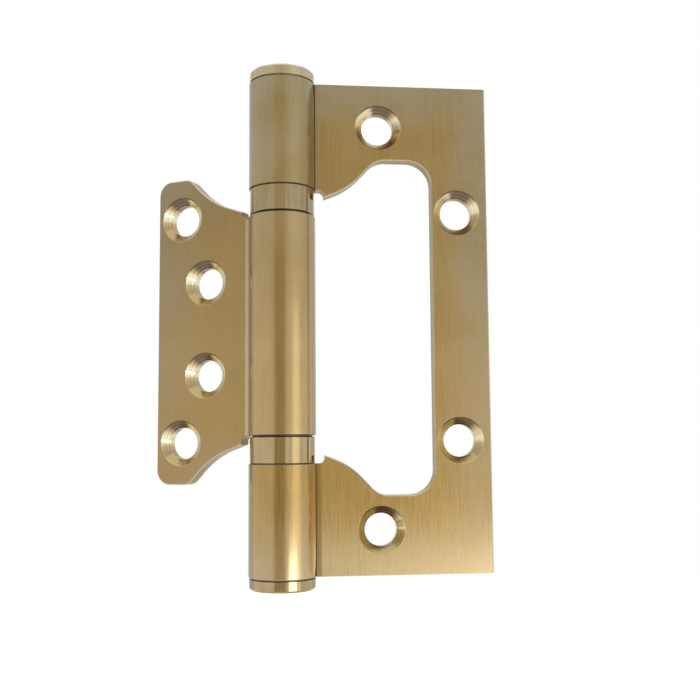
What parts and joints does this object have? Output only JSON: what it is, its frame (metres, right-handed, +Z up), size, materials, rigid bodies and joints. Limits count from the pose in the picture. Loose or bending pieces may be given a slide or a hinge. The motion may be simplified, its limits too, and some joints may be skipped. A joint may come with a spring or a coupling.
{
  "type": "flush hinge",
  "caption": "Flush hinge with ball bearings: a small shaped leaf folds into the window of a large leaf about a rolled barrel with flat caps and countersunk screw holes.",
  "frame": {"origin": "on the pin's axis at half height", "axes": "+Z up along the pin, +X towards the outer leaf's free edge, +Y away from its screw seats"},
  "size_m": [0.0681, 0.0217, 0.1048],
  "materials": {
    "brushed_gold": "champagne gold with fine brushing along the pin's direction",
    "polished_gold": "champagne gold, turned and polished",
    "pin_steel": "ground",
    "race_steel": "ground and hardened",
    "ball_steel": "bright polished steel",
    "cage_nylon": "natural nylon"
  },
  "bodies": {
    "outer": {"outer_leaf": "brushed_gold", "hinge_pin": "pin_steel", "top_cap": "polished_gold", "bottom_cap": "polished_gold", "upper_bearing_sleeve": "polished_gold", "lower_bearing_sleeve": "polished_gold", "upper_fixed_race": "race_steel", "lower_fixed_race": "race_steel"},
    "inner": {"inner_leaf": "brushed_gold", "upper_turning_race": "race_steel", "lower_turning_race": "race_steel"},
    "upper_balls": {"upper_ball_cage": "cage_nylon", "upper_ball_01": "ball_steel", "upper_ball_02": "ball_steel", "upper_ball_03": "ball_steel", "upper_ball_04": "ball_steel", "upper_ball_05": "ball_steel", "upper_ball_06": "ball_steel", "upper_ball_07": "ball_steel", "upper_ball_08": "ball_steel", "upper_ball_09": "ball_steel", "upper_ball_10": "ball_steel", "upper_ball_11": "ball_steel", "upper_ball_12": "ball_steel"},
    "lower_balls": {"lower_ball_cage": "cage_nylon", "lower_ball_01": "ball_steel", "lower_ball_02": "ball_steel", "lower_ball_03": "ball_steel", "lower_ball_04": "ball_steel", "lower_ball_05": "ball_steel", "lower_ball_06": "ball_steel", "lower_ball_07": "ball_steel", "lower_ball_08": "ball_steel", "lower_ball_09": "ball_steel", "lower_ball_10": "ball_steel", "lower_ball_11": "ball_steel", "lower_ball_12": "ball_steel"}
  },
  "joints": [
    {"name": "leaf_swing", "type": "hinge", "parent": "outer", "child": "inner", "pos_m": [0, 0, 0], "axis": [0, 0, 1], "continuous": true},
    {"name": "upper_cage_roll", "type": "hinge", "parent": "outer", "child": "upper_balls", "pos_m": [0, 0, 0], "axis": [0, 0, 1], "continuous": true},
    {"name": "lower_cage_roll", "type": "hinge", "parent": "outer", "child": "lower_balls", "pos_m": [0, 0, 0], "axis": [0, 0, 1], "continuous": true}
  ],
  "couplings": [
    {"joint": "upper_cage_roll", "follows": "leaf_swing", "ratio": 0.5},
    {"joint": "lower_cage_roll", "follows": "leaf_swing", "ratio": 0.5}
  ]
}
